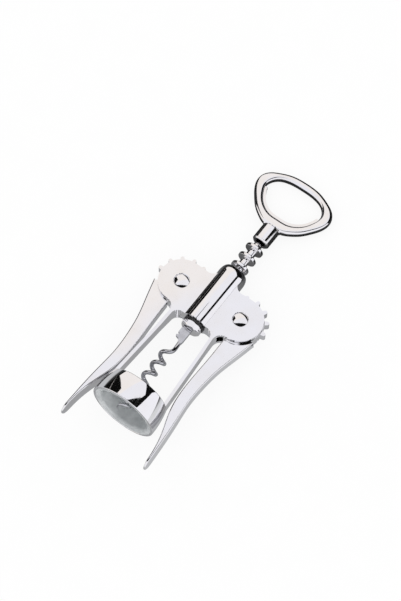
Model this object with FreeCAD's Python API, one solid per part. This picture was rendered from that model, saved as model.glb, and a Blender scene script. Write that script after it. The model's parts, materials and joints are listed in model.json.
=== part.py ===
import FreeCAD, Part

# Wing corkscrew: two geared levers lift a ribbed shaft that turns with its ring handle and worm.
# It is drawn upright, X to the right, Y to the back and Z up along the worm, with the
# bell's mouth at Z = 0, and is laid on its back at the end. Millimetres.
import math
import os

V = FreeCAD.Vector

# Clearances between pieces
running_clearance = 0.05
slide_clearance = 0.30
seat_clearance = 0.05
lever_side_clearance = 0.20
tooth_tip_clearance = 0.60

# Tube that guides the ribbed shaft
tube_radius = 7.95
tube_bottom = 63.3
tube_top = 101.0
tube_top_round = 2.6

# Ribbed shaft: each rib is a round disc, and the discs are the teeth of a rack
rib_radius = 5.25
rib_thickness = 1.9
rib_chamfer = 0.45
rib_pitch = 6.642
neck_radius = 2.45
shaft_top = 122.8
shaft_end_length = 4.0

# Levers and their pivots
pivot_x = 19.2
pivot_z = 77.76
pivot_pin_radius = 4.35
pivot_dome_height = 0.9
pivot_recess = 0.55
lever_hub_radius = 12.9
lever_hub_thickness = 5.0
lever_arm_thickness = 6.4
lever_shoulder_gap = 1.75
lever_pad_depth = 9.0
# Height, inner edge, outer edge and share of the widening from arm to pad
arm_stations = [
    (71.0, 18.4, 32.3, 0.0),
    (61.5, 18.3, 30.0, 0.0),
    (48.0, 18.05, 26.6, 0.05),
    (36.0, 17.55, 24.95, 0.25),
    (24.0, 17.7, 24.45, 0.6),
    (13.0, 19.4, 25.3, 0.88),
    (2.0, 22.8, 26.2, 1.0),
    (-7.0, 24.8, 26.7, 1.0),
    (-14.0, 25.6, 27.0, 0.97),
]
# Drop below the last station and share of the pad's depth left there
arm_tip_steps = [(2.6, 0.8), (4.2, 0.52), (5.0, 0.2)]
arm_tip_length = 5.0
arm_tip_lean = 0.06
arm_tip_thinning = 0.15
web_overlap = 0.8
web_start_deg = -92.0
web_end_deg = -27.0
lever_edge_round = 0.45
lever_play_deg = 0.8
tooth_step_deg = 26.5
first_tooth_deg = 3.65
tooth_count = 9
tooth_width = 2.1
tooth_tip_radius = 15.45
tooth_root_depth = 1.0
tooth_flare = 0.35

# Cheeks that hold the levers, cast in one with the tube and the legs
cheek_lobe_radius = 12.7
frame_depth = 9.4
cheek_corner_radius = 5.2
cheek_top_start = 12.6
cheek_neck_z = 93.9
cheek_neck_inset = 2.0
cheek_bend_across = 1.7
cheek_bend_up = 1.0

# Legs that carry the bell
leg_thickness = 1.85
leg_depth = 7.4
leg_top_x = 14.35
leg_top_z = 57.0
leg_foot_inset = 0.5
tenon_width = 3.7
tenon_outer_step = 0.25
tenon_inner_step = 0.1
crotch_round = 4.2

# Bell and its plastic liner
bottle_bore_radius = 15.2
liner_mouth_wall = 2.8
liner_top_wall = 1.7
liner_mouth_chamfer = 0.8
bell_wall = 1.2
bell_height = 14.66
bell_top_wall = 1.5
bell_taper = 1.75
bell_edge_round = 0.35
worm_hole_radius = 8.0

# Washer and ferrule that stop the shaft against the tube
washer_radius = 6.2
washer_thickness = 1.3
washer_gap = 0.15
ferrule_radius = 5.9
ferrule_height = 3.3
ferrule_chamfer = 0.5
ferrule_sides = 8

# Worm: a flat shank with a notch, then a pointed helix of round wire
shank_width = 5.4
shank_thickness = 2.2
shank_offset = -1.1
shank_bottom = 49.2
shank_notch_z = 53.2
shank_notch_depth = 1.0
shank_notch_height = 1.3
wire_radius = 1.15
helix_radius = 2.55
helix_offset = -1.5
helix_pitch = 7.5
helix_left_z = 38.5
helix_start_deg = 90.0
helix_end_deg = 1970.0
worm_point_length = 3.4
worm_point_radius = 0.12
tang_width = 3.0
tang_length = 7.0
tang_socket_radius = 1.95
shank_edge_round = 0.4
wire_start_x = 0.3

# Handle: a collar on the shaft's end and a flat ring with a cap lifter
collar_radius = 5.1
collar_height = 10.7
collar_chamfer = 0.8
handle_stop_gap = 1.0
spigot_radius = 3.2
spigot_depth = 6.0
ring_half_width = 23.7
ring_height = 33.9
ring_side_band = 6.0
ring_foot_band = 6.3
ring_top_band = 4.5
# Outline points, from the bottom up, as shares of the half width and of the height
ring_shape = [(0.0, 0.0), (0.23, 0.01), (0.455, 0.085), (0.65, 0.19), (0.8, 0.313), (0.925, 0.44),
              (0.99, 0.56), (0.985, 0.69), (0.875, 0.81), (0.68, 0.895), (0.4, 0.972), (0.0, 1.0)]
ring_hole_shape = [(0.0, 0.0), (0.3, 0.01), (0.56, 0.09), (0.8, 0.255), (0.945, 0.45),
                   (1.0, 0.6), (0.945, 0.745), (0.79, 0.88), (0.5, 0.97), (0.0, 1.0)]
ring_base_half_width = 5.3
ring_base_height = 3.4
ring_thickness = 5.0
ring_edge_round = 1.9
ring_round_share = 0.45
lifter_ledge = 1.5
lifter_share = 0.56
lifter_thickness = 2.2

# Values that follow from the sizes above
bell_mouth_radius = bottle_bore_radius + liner_mouth_wall + seat_clearance + bell_wall
bell_top_radius = bell_mouth_radius - bell_taper
leg_foot_x = bell_top_radius - leg_foot_inset
pitch_radius = rib_pitch / math.radians(tooth_step_deg)
bore_radius = rib_radius + slide_clearance
slot_width = lever_hub_thickness + 2 * lever_side_clearance
slot_radius = tooth_tip_radius + tooth_tip_clearance
pin_hole_radius = pivot_pin_radius + running_clearance
shoulder_radius = cheek_lobe_radius + lever_shoulder_gap
half_depth = frame_depth / 2
washer_top = tube_bottom - washer_gap
ferrule_top = washer_top - washer_thickness - washer_gap
ferrule_bottom = ferrule_top - ferrule_height
collar_bottom = shaft_top
collar_top = collar_bottom + collar_height
shaft_travel = collar_top - tube_top - handle_stop_gap
ring_top = collar_top + ring_height
ring_hole_half_width = ring_half_width - ring_side_band
ring_hole_bottom = collar_top + ring_foot_band
ring_hole_top = ring_top - ring_top_band


def rod(radius, bottom, top, x=0.0, y=0.0):
    """Upright cylinder between two heights."""
    return Part.makeCylinder(radius, top - bottom, V(x, y, bottom))


def cross_rod(radius, depth, x, z):
    """Cylinder that runs front to back, centred on the mid-plane."""
    return Part.makeCylinder(radius, depth, V(x, -depth / 2, z), V(0, 1, 0))


def block(x0, x1, y0, y1, z0, z1):
    """Box between two corners."""
    return Part.makeBox(x1 - x0, y1 - y0, z1 - z0, V(x0, y0, z0))


def front_plate(edges, depth):
    """Plate cut to an outline drawn in the front view, centred on the mid-plane."""
    face = Part.Face(Part.Wire(edges))
    face.translate(V(0, -depth / 2, 0))
    return face.extrude(V(0, depth, 0))


def line(a, b):
    return Part.LineSegment(V(a[0], 0, a[1]), V(b[0], 0, b[1])).toShape()


def arc(a, middle, b):
    return Part.Arc(V(a[0], 0, a[1]), V(middle[0], 0, middle[1]), V(b[0], 0, b[1])).toShape()


def curve(points, closed=False):
    """Smooth curve through points of the front view."""
    spline = Part.BSplineCurve()
    spline.interpolate([V(x, 0, z) for x, z in points], PeriodicFlag=closed)
    return spline.toShape()


def around(centre, radius, degrees):
    """Point on a circle of the front view."""
    turn = math.radians(degrees)
    return (centre[0] + radius * math.cos(turn), centre[1] + radius * math.sin(turn))


def mirrored(shape):
    """Left-hand copy of a right-hand shape."""
    return shape.mirror(V(0, 0, 0), V(1, 0, 0))


def revolve(profile):
    """Solid of revolution about the worm axis from (radius, height) points."""
    points = [V(r, 0, z) for r, z in profile]
    wire = Part.makePolygon(points + points[:1])
    return Part.Face(wire).revolve(V(0, 0, 0), V(0, 0, 1), 360)


def edges_where(shape, test):
    return [edge for edge in shape.Edges if test(edge)]


def leg_outer_x(z):
    """Outer face of the right leg, which leans out towards the bell."""
    share = (leg_top_z - z) / (leg_top_z - bell_height)
    return leg_top_x + share * (leg_foot_x - leg_top_x)


def cheek_outline():
    """Right half of the casting in the front view, down to the top of the leg."""
    pivot = (pivot_x, pivot_z)
    lean = (leg_foot_x - leg_top_x) / (leg_top_z - bell_height)
    scale = math.hypot(1, lean)
    reach = cheek_lobe_radius + cheek_corner_radius
    side = (leg_top_x + cheek_corner_radius * scale, leg_top_z)
    # The corner's centre lies on a line beside the leg and on a circle about the pivot.
    dx = side[0] - pivot_x
    dz = side[1] - pivot_z
    a = lean * lean + 1
    b = 2 * (dz - lean * dx)
    c = dx * dx + dz * dz - reach * reach
    rise = (-b - math.sqrt(b * b - 4 * a * c)) / (2 * a)
    centre = (side[0] - lean * rise, side[1] + rise)
    to_lobe = math.degrees(math.atan2(pivot_z - centre[1], pivot_x - centre[0]))
    to_leg = 180 + math.degrees(math.atan(lean))
    lobe_end = around(centre, cheek_corner_radius, to_lobe)
    leg_start = around(centre, cheek_corner_radius, to_leg)
    corner_middle = around(centre, cheek_corner_radius, (to_lobe + to_leg) / 2)
    top = around(pivot, cheek_lobe_radius, 90)
    start = (cheek_top_start, top[1])
    neck = (tube_radius - cheek_neck_inset, cheek_neck_z)
    bend = (neck[0] + cheek_bend_across, top[1] + cheek_bend_up)
    foot = (leg_outer_x(leg_top_z), leg_top_z)
    inner_foot = (foot[0] - leg_thickness, leg_top_z)
    inner_top = (leg_outer_x(tube_bottom) - leg_thickness, tube_bottom)
    return [
        line((0, tube_bottom), (0, cheek_neck_z)),
        line((0, cheek_neck_z), neck),
        arc(neck, bend, start),
        line(start, top),
        arc(top, around(pivot, cheek_lobe_radius, 0), lobe_end),
        arc(lobe_end, corner_middle, leg_start),
        line(leg_start, foot),
        line(foot, inner_foot),
        line(inner_foot, inner_top),
        line(inner_top, (0, tube_bottom)),
    ]


def crotch_corner():
    """Rounded inner corner between a leg and the underside of the casting."""
    inner_x = leg_outer_x(tube_bottom) - leg_thickness
    size = crotch_round
    corner = block(inner_x - size, inner_x + leg_thickness / 2, -leg_depth / 2, leg_depth / 2,
                   tube_bottom - size, tube_bottom)
    return corner.cut(cross_rod(size, frame_depth, inner_x - size, tube_bottom - size))


def leg():
    """Right leg, a thin flat strap from the cheeks to the bell, with a tenon at its foot."""
    outline = [
        (leg_outer_x(tube_bottom), tube_bottom),
        (leg_outer_x(bell_height), bell_height),
        (leg_outer_x(bell_height) - leg_thickness, bell_height),
        (leg_outer_x(tube_bottom) - leg_thickness, tube_bottom),
    ]
    edges = [line(a, b) for a, b in zip(outline, outline[1:] + outline[:1])]
    strap = front_plate(edges, leg_depth)
    return strap.fuse(tenon(0.0, bell_height - bell_top_wall))


def tenon(clearance, bottom):
    """Tongue at a leg's foot, or with a clearance the slot for it in the bell's top."""
    outer = leg_foot_x - tenon_outer_step + clearance
    inner = leg_foot_x - leg_thickness + tenon_inner_step - clearance
    half = tenon_width / 2 + clearance
    return block(inner, outer, -half, half, bottom, bell_height)


def make_frame():
    half_plate = front_plate(cheek_outline(), frame_depth)
    half = half_plate.fuse([leg(), crotch_corner()])
    tube = rod(tube_radius, tube_bottom, tube_top)
    rim = edges_where(tube, lambda e: abs(e.BoundBox.ZMin - tube_top) < 0.01)
    tube = tube.makeFillet(tube_top_round, rim)
    casting = tube.fuse([half, mirrored(half)]).removeSplitter()
    bore = rod(bore_radius, tube_bottom - 1, tube_top + 1)
    slot = cross_rod(slot_radius, slot_width, pivot_x, pivot_z)
    hole = cross_rod(pin_hole_radius, frame_depth + 2, pivot_x, pivot_z)
    return casting.cut([bore, slot, mirrored(slot), hole, mirrored(hole)])


def bell_side(offset, top):
    """Curved side of the bell, moved in by an offset: an edge from the mouth to a height."""
    bulge = (bell_taper ** 2 + bell_height ** 2) / (2 * bell_taper)

    def at(z):
        radius = bell_mouth_radius - bulge + math.sqrt(bulge * bulge - z * z)
        return V(radius - offset, 0, z)

    return Part.Arc(at(0), at(top / 2), at(top)).toShape()


def bell_solid(offset, top):
    """Solid inside the bell's side, down from a height to the mouth."""
    side = bell_side(offset, top)
    mouth = side.Vertexes[0].Point
    rim = side.Vertexes[1].Point
    edges = [
        side,
        Part.LineSegment(rim, V(0, 0, top)).toShape(),
        Part.LineSegment(V(0, 0, top), V(0, 0, 0)).toShape(),
        Part.LineSegment(V(0, 0, 0), mouth).toShape(),
    ]
    return Part.Face(Part.Wire(edges)).revolve(V(0, 0, 0), V(0, 0, 1), 360)


def make_bell():
    outer = bell_solid(0.0, bell_height)
    circles = edges_where(outer, lambda e: e.BoundBox.ZLength < 0.01)
    rims = [edge for edge in circles if edge.BoundBox.XLength > bell_top_radius]
    outer = outer.makeFillet(bell_edge_round, rims)
    inner = bell_solid(bell_wall, bell_height - bell_top_wall)
    hole = rod(worm_hole_radius, 0, bell_height + 1)
    slot = tenon(seat_clearance, 0.0)
    return outer.cut([inner, hole, slot, mirrored(slot)])


def make_bell_liner():
    top = bell_height - bell_top_wall
    outer = bell_solid(bell_wall + seat_clearance, top)
    bore = rod(bottle_bore_radius, -1, top - liner_top_wall)
    hole = rod(worm_hole_radius, -1, top + 1)
    mouth = Part.makeCone(bottle_bore_radius + liner_mouth_chamfer, bottle_bore_radius, liner_mouth_chamfer)
    return outer.cut([bore, hole, mouth])


def make_pivot_pin():
    """Rivet with a shallow dome at each end, a little below the cheek's face at its edge."""
    crown = half_depth - pivot_recess + pivot_dome_height
    sphere = (pivot_pin_radius ** 2 + pivot_dome_height ** 2) / (2 * pivot_dome_height)
    pin = cross_rod(pivot_pin_radius, 2 * crown, pivot_x, pivot_z)
    for side in (-1, 1):
        centre = V(pivot_x, side * (crown - sphere), pivot_z)
        pin = pin.common(Part.makeSphere(sphere, centre))
    return pin


def tooth(degrees):
    """One rounded tooth, reaching in to the hub."""
    half = tooth_width / 2
    root = lever_hub_radius - tooth_root_depth
    edges = [
        line((root, -half - tooth_flare), (tooth_tip_radius - half, -half)),
        arc((tooth_tip_radius - half, -half), (tooth_tip_radius, 0), (tooth_tip_radius - half, half)),
        line((tooth_tip_radius - half, half), (root, half + tooth_flare)),
        line((root, half + tooth_flare), (root, -half - tooth_flare)),
    ]
    piece = front_plate(edges, lever_hub_thickness)
    piece.rotate(V(0, 0, 0), V(0, -1, 0), degrees)
    piece.translate(V(pivot_x, 0, pivot_z))
    return piece


def arm_section(z, inner_x, outer_x, half_depth):
    """Rounded rectangle across the right arm at one height."""
    r = min(lever_edge_round, (outer_x - inner_x) / 2.5)
    k = r * (1 - math.sqrt(0.5))
    corners = [(inner_x, -half_depth, 1, 1), (outer_x, -half_depth, -1, 1),
               (outer_x, half_depth, -1, -1), (inner_x, half_depth, 1, -1)]
    edges = []
    last = None
    for n, (x, y, sx, sy) in enumerate(corners):
        on_x_side = V(x, y + sy * r, z)
        on_y_side = V(x + sx * r, y, z)
        first, second = (on_x_side, on_y_side) if n % 2 == 0 else (on_y_side, on_x_side)
        if last is not None:
            edges.append(Part.LineSegment(last, first).toShape())
        edges.append(Part.Arc(first, V(x + sx * k, y + sy * k, z), second).toShape())
        last = second
    edges.append(Part.LineSegment(last, edges[0].Vertexes[0].Point).toShape())
    return Part.Wire(edges)


def make_arm():
    """Right arm: slim and broad at the shoulder, turning into a deep thin pad at the tip."""
    slim = lever_arm_thickness / 2
    wide = lever_pad_depth / 2
    sections = []
    for z, inner_x, outer_x, share in arm_stations:
        sections.append(arm_section(z, inner_x, outer_x, slim + share * (wide - slim)))
    for drop, depth_share in arm_tip_steps:
        z, inner_x, outer_x, share = arm_stations[-1]
        thin = arm_tip_thinning * drop / arm_tip_length
        sections.append(arm_section(z - drop, inner_x + arm_tip_lean * drop + thin,
                                    outer_x + arm_tip_lean * drop / 2 - thin, wide * depth_share))
    arm = Part.makeLoft(sections, True, False)
    return arm.cut(cross_rod(shoulder_radius, 2 * lever_pad_depth, pivot_x, pivot_z))


def make_lever():
    """Right lever: hub with teeth, a web in the same plane, and the thicker arm."""
    pivot = (pivot_x, pivot_z)
    hub = cross_rod(lever_hub_radius, lever_hub_thickness, pivot_x, pivot_z)
    reach = shoulder_radius + web_overlap
    start = around(pivot, reach, web_start_deg)
    end = around(pivot, reach, web_end_deg)
    web = front_plate([
        line(pivot, start),
        arc(start, around(pivot, reach, (web_start_deg + web_end_deg) / 2), end),
        line(end, pivot),
    ], lever_hub_thickness)
    teeth = [tooth(first_tooth_deg + k * tooth_step_deg) for k in range(tooth_count)]
    solid = hub.fuse([web, make_arm()] + teeth).removeSplitter()
    return solid.cut(cross_rod(pin_hole_radius, frame_depth, pivot_x, pivot_z))


def rib(z):
    """Disc with both rims chamfered."""
    half = rib_thickness / 2
    edge = half - rib_chamfer
    flat = rib_radius - rib_chamfer
    return revolve([(0, z - half), (flat, z - half), (rib_radius, z - edge),
                    (rib_radius, z + edge), (flat, z + half), (0, z + half)])


def make_rack_shaft():
    """Neck with discs, let into the collar above and the ferrule below."""
    shaft = rod(neck_radius, ferrule_bottom, shaft_top + shaft_end_length)
    lowest = math.ceil((tube_bottom + rib_thickness / 2 - pivot_z) / rib_pitch)
    highest = math.floor((shaft_top - rib_thickness - pivot_z) / rib_pitch)
    ribs = [rib(pivot_z + k * rib_pitch) for k in range(lowest, highest + 1)]
    socket = rod(tang_socket_radius, ferrule_bottom - 1, ferrule_bottom + tang_length + seat_clearance)
    return shaft.fuse(ribs).removeSplitter().cut(socket)


def make_stop_washer():
    """Washer round the neck under the tube. It slides with the shaft and need not turn."""
    washer = rod(washer_radius, washer_top - washer_thickness, washer_top)
    return washer.cut(rod(neck_radius + running_clearance, ferrule_top, tube_bottom))


def make_stop_ferrule():
    """Faceted ferrule on the shaft's foot."""
    corners = [around((0, 0), ferrule_radius, 360 / ferrule_sides * (k + 0.5)) for k in range(ferrule_sides)]
    points = [V(x, y, ferrule_bottom) for x, y in corners]
    prism = Part.Face(Part.makePolygon(points + points[:1])).extrude(V(0, 0, ferrule_height))
    low = ferrule_bottom
    high = ferrule_top
    flat = ferrule_radius - ferrule_chamfer
    envelope = revolve([(0, low), (flat - ferrule_chamfer, low), (ferrule_radius, low + 2 * ferrule_chamfer),
                        (ferrule_radius, high - ferrule_chamfer), (flat, high), (0, high)])
    return prism.common(envelope).cut(rod(neck_radius + seat_clearance, low - 1, high + 1))


def helix_point(degrees):
    """Point and direction on the worm's centre line. The angle grows as the line goes down."""
    turn = math.radians(degrees)
    z = helix_left_z - helix_pitch * (degrees - 180) / 360
    point = V(helix_offset + helix_radius * math.cos(turn), -helix_radius * math.sin(turn), z)
    fall = helix_pitch / (2 * math.pi)
    direction = V(-helix_radius * math.sin(turn), -helix_radius * math.cos(turn), -fall)
    return point, direction.normalize()


def tangent_arc(start, corner, end):
    """Arc from one point to another, tangent to both lines through the corner."""
    chord = (start + end) * 0.5
    to_corner = corner - chord
    half = (end - start).Length / 2
    angle = math.atan2(to_corner.Length, half)
    middle = chord + to_corner * (math.tan(angle / 2) / math.tan(angle))
    return Part.Arc(start, middle, end).toShape()


def biarc(start, end):
    """Two arcs that leave one point and reach another in given directions."""
    (p0, t0), (p1, t1) = start, end
    span = p1 - p0
    both = t0 + t1
    along = span.dot(both)
    size = 4 - both.dot(both)
    reach = (math.sqrt(along * along + size * span.dot(span)) - along) / size
    first = p0 + t0 * reach
    second = p1 - t1 * reach
    joint = (first + second) * 0.5
    return [tangent_arc(p0, first, joint), tangent_arc(joint, second, p1)]


def least_self_gap():
    """Smallest clear distance between neighbouring turns of the worm's wire."""
    step = 10
    count = int((helix_end_deg - helix_start_deg) / step)
    line_points = [helix_point(helix_start_deg + k * step)[0] for k in range(count)]
    half_turn = 180 // step
    gaps = [(a - b).Length for i, a in enumerate(line_points) for b in line_points[i + half_turn:]]
    return min(gaps) - 2 * wire_radius


def worm_wire():
    """One unbroken round wire from inside the shank down the helix, with a drawn-out point."""
    straight_end = V(wire_start_x, 0, shank_bottom + wire_radius)
    straight_start = straight_end + V(0, 0, 2 * wire_radius)
    edges = [Part.LineSegment(straight_start, straight_end).toShape()]
    edges += biarc((straight_end, V(0, 0, -1)), helix_point(helix_start_deg))
    quarters = math.ceil((helix_end_deg - helix_start_deg) / 90)
    step = (helix_end_deg - helix_start_deg) / quarters
    for k in range(quarters):
        here = helix_start_deg + k * step
        edges += biarc(helix_point(here), helix_point(here + step))
    section = Part.Wire(Part.makeCircle(wire_radius, straight_start, V(0, 0, -1)))
    tube = Part.Wire(edges).makePipeShell([section], True, False)
    end, direction = helix_point(helix_end_deg)
    point = Part.makeCone(wire_radius, worm_point_radius, worm_point_length, end, direction)
    swept = math.pi * wire_radius ** 2 * Part.Wire(edges).Length
    print("worm wire: volume", round(tube.Volume, 1), "against section times length", round(swept, 1),
          "least gap", round(least_self_gap(), 2))
    return tube.fuse(point)


def make_worm():
    """Flat shank with a tang above and a notch in one side, running into the pointed helix."""
    left = shank_offset - shank_width / 2
    half = shank_thickness / 2
    shank = block(left, left + shank_width, -half, half, shank_bottom, ferrule_bottom)
    sides = edges_where(shank, lambda e: e.BoundBox.ZLength > shank_width / 2)
    shank = shank.makeFillet(shank_edge_round, sides)
    tang = block(-tang_width / 2, tang_width / 2, -half, half, ferrule_bottom, ferrule_bottom + tang_length)
    notch_low = shank_notch_z - shank_notch_height / 2
    notch = block(left - 1, left + shank_notch_depth, -shank_thickness, shank_thickness,
                  notch_low, notch_low + shank_notch_height)
    taper = block(left - 1, left + shank_width / 2 - wire_radius, -shank_thickness, shank_thickness,
                  shank_bottom - 1, shank_notch_z - shank_notch_height)
    return shank.cut([notch, taper]).fuse([tang, worm_wire()])


def make_handle_collar():
    """Sleeve with a bevelled foot, bored for the shaft below and the ring's spigot above."""
    low = collar_bottom
    high = collar_top
    flat = collar_radius - collar_chamfer
    sleeve = revolve([(0, low), (flat, low), (collar_radius, low + collar_chamfer),
                      (collar_radius, high), (0, high)])
    shaft_hole = rod(neck_radius + seat_clearance, low - 1, low + shaft_end_length + seat_clearance)
    spigot_hole = rod(spigot_radius + seat_clearance, high - spigot_depth - seat_clearance, high + 1)
    return sleeve.cut([shaft_hole, spigot_hole])


def oval(shape, half_width, bottom, top):
    """Closed smooth outline in the front view from the right half of its shape."""
    right = [(x * half_width, bottom + z * (top - bottom)) for x, z in shape]
    left = [(-x, z) for x, z in reversed(right[1:-1])]
    return curve(right + left, closed=True)


def ring_hole(margin):
    """Outline of the ring's opening, drawn in by a margin."""
    half_width = ring_hole_half_width - margin
    return oval(ring_hole_shape, half_width, ring_hole_bottom + margin, ring_hole_top - margin)


def make_handle_ring():
    """Flat oval ring with rounded edges, a cap-lifter ledge in its lower half and a spigot."""
    outer = oval(ring_shape, ring_half_width, collar_top, ring_top)
    ring = front_plate([outer], ring_thickness).cut(front_plate([ring_hole(0.0)], ring_thickness))
    narrowest = min(ring_side_band, ring_foot_band, ring_top_band, ring_thickness)
    edge_round = min(ring_edge_round, ring_round_share * narrowest)
    ring = ring.makeFillet(edge_round, edges_where(ring, lambda e: e.BoundBox.YLength < 0.01))
    ledge_top = ring_hole_bottom + lifter_share * (ring_hole_top - ring_hole_bottom)
    ledge = front_plate([outer.copy()], lifter_thickness)
    ledge = ledge.cut(front_plate([ring_hole(lifter_ledge)], ring_thickness))
    ledge = ledge.common(block(-ring_half_width, ring_half_width, -ring_thickness, ring_thickness,
                               collar_top, ledge_top))
    base_depth = (ring_thickness - edge_round) / 2
    base_top = collar_top + ring_base_height
    base = block(-ring_base_half_width, ring_base_half_width, -base_depth, base_depth, collar_top, base_top)
    below = block(-ring_half_width, ring_half_width, -ring_thickness, ring_thickness,
                  collar_bottom, collar_top)
    spigot = rod(spigot_radius, collar_top - spigot_depth, collar_top)
    return ring.fuse([ledge, base]).cut(below).fuse(spigot)


def leaning(shape, degrees):
    """Right lever turned about its pivot within the play of its teeth."""
    shape.rotate(V(pivot_x, 0, pivot_z), V(0, -1, 0), degrees)
    return shape


def lay_down(shape):
    """Turn the upright part on its back, centred along its length, its lowest line at Z = 0."""
    tip_z = arm_stations[-1][0] - arm_tip_length
    middle = (ring_top + tip_z) / 2
    shape.rotate(V(0, 0, 0), V(1, 0, 0), -90)
    shape.translate(V(0, -middle, bell_mouth_radius))
    return shape


def build():
    pin = make_pivot_pin()
    return {
        "frame": make_frame(),
        "bell": make_bell(),
        "bell_liner": make_bell_liner(),
        "left_pivot_pin": mirrored(pin),
        "right_pivot_pin": pin,
        "left_lever": mirrored(leaning(make_lever(), -lever_play_deg)),
        "right_lever": leaning(make_lever(), lever_play_deg),
        "rack_shaft": make_rack_shaft(),
        "stop_washer": make_stop_washer(),
        "stop_ferrule": make_stop_ferrule(),
        "worm": make_worm(),
        "handle_collar": make_handle_collar(),
        "handle_ring": make_handle_ring(),
    }


os.makedirs("parts", exist_ok=True)
for name, solid in build().items():
    solid = lay_down(solid)
    box = solid.BoundBox
    print(name, "solids", len(solid.Solids), "valid", solid.isValid(), "volume", round(solid.Volume, 1),
          "box", [round(v, 2) for v in (box.XMin, box.XMax, box.YMin, box.YMax, box.ZMin, box.ZMax)])
    solid.exportStep("parts/" + name + ".step")
print("pitch radius", round(pitch_radius, 3), "travel", round(shaft_travel, 2),
      "lever turn", round(math.degrees(shaft_travel / pitch_radius), 1))
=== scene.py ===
# %% [markdown]
# A wing corkscrew lies on its back on a pale table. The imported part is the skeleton: it says
# where each piece sits and which body it moves with. Every visible piece is modelled again
# here with rounded edges and true curved surfaces, because polished chrome shows each facet
# of a coarse mesh as a kink in its reflections.

import json
import math

import bmesh
import bpy
import numpy as np
from mathutils import Matrix, Vector


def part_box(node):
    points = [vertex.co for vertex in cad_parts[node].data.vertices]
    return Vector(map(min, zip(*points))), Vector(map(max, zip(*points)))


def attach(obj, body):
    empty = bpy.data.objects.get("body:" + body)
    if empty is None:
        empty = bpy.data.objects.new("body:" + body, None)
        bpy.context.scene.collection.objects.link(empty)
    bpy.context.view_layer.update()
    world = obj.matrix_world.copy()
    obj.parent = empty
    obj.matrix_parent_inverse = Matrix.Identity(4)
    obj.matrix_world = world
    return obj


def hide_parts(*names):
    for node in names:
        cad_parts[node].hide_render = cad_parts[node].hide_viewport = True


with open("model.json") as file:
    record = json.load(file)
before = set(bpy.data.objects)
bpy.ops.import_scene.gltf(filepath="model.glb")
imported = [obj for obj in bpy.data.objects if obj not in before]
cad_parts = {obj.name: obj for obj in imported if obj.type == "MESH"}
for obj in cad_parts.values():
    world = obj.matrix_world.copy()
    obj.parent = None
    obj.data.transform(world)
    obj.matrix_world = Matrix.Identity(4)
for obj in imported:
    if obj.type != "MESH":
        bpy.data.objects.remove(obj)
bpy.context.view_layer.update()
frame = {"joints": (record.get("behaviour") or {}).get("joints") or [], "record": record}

# %% [markdown]
# A corkscrew is easiest to draw standing up, in millimetres, with the worm on the Z axis and
# the bell's mouth at zero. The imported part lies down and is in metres. One matrix takes a
# finished drawing to its place, and the two numbers in it come from the part itself: the
# hinge gives the height of the axis, and the bell's rim gives the place of the mouth.

# %% From the drawing to the frame
MM = 0.001
joints = {joint["name"]: joint for joint in frame["joints"]}
mounts = {mount["name"]: mount for mount in frame["record"]["mounts"]}
hinge_at = joints["right_lever_hinge"]["pos_m"]
mouth_at = mounts["bell_rim"]["pos_m"][1]
axis_height = hinge_at[2]
LAY_DOWN = Matrix(((MM, 0, 0, 0), (0, 0, MM, mouth_at), (0, -MM, 0, axis_height), (0, 0, 0, 1)))
pivot_x = hinge_at[0] / MM
pivot_z = (hinge_at[1] - mouth_at) / MM
print("pivots at x", round(pivot_x, 2), "and", round(pivot_z, 2), "mm above the bell's mouth")


def height_in(node):
    """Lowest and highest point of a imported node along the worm, in millimetres above the mouth."""
    low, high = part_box(node)
    return (low.y - mouth_at) / MM, (high.y - mouth_at) / MM


# %% [markdown]
# Two small tools draw outlines. An arc is a row of points on a circle, and a rounded outline
# replaces each corner of a polygon with such an arc. Both are plain mathematics, so the same
# call serves the section of a turned piece and the silhouette of a stamped one.

# %% Outline tools
ARC_STEP = 7.5


def arc(centre, radius, start, end, step=ARC_STEP):
    """Points on a circle from one angle to another, in degrees, both ends included."""
    count = max(2, math.ceil(abs(end - start) / step))
    angles = [math.radians(start + (end - start) * k / count) for k in range(count + 1)]
    return [(centre[0] + radius * math.cos(a), centre[1] + radius * math.sin(a)) for a in angles]


def corner_arc(before, corner, after, radius):
    """Arc that rounds the corner between two straight lines."""
    here = Vector(corner)
    back = (Vector(before) - here).normalized()
    on = (Vector(after) - here).normalized()
    half = back.angle(on) / 2
    centre = here + (back + on).normalized() * radius / math.sin(half)
    start = here + back * radius / math.tan(half) - centre
    end = here + on * radius / math.tan(half) - centre
    first = math.degrees(math.atan2(start.y, start.x))
    turn = (math.degrees(math.atan2(end.y, end.x)) - first + 180) % 360 - 180
    return arc(centre, radius, first, first + turn)


def rounded(corners):
    """Closed outline from (x, z, radius) corners, each rounded by its radius."""
    outline = []
    for k, (x, z, radius) in enumerate(corners):
        if radius:
            following = corners[(k + 1) % len(corners)]
            outline += corner_arc(corners[k - 1][:2], (x, z), following[:2], radius)
        else:
            outline.append((x, z))
    return outline


def mirrored(points):
    """The same outline on the left of the worm's axis, walked the other way."""
    return [(-x, z) for x, z in reversed(points)]


# %% [markdown]
# A piece starts as a draft object in the drawing space. Three ways of making one cover the
# whole corkscrew: a plate is an outline pulled from front to back, a turned piece is a
# section spun about an upright axis, and a skin joins a row of rings. Solids are then added
# and cut with Blender's exact boolean, which keeps edges sharp for the bevel that follows.

# %% Solid tools
TURNED_SIDES = 120


def link_object(name, data):
    """New object in the scene."""
    made = bpy.data.objects.new(name, data)
    bpy.context.scene.collection.objects.link(made)
    return made


def draft(name, points, faces):
    """Mesh object in the drawing space, with its faces turned outwards."""
    mesh = bpy.data.meshes.new(name)
    mesh.from_pydata([tuple(p) for p in points], [], faces)
    form = bmesh.new()
    form.from_mesh(mesh)
    bmesh.ops.remove_doubles(form, verts=form.verts, dist=1e-5)
    bmesh.ops.recalc_face_normals(form, faces=form.faces)
    form.to_mesh(mesh)
    form.free()
    return link_object(name, mesh)


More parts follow.
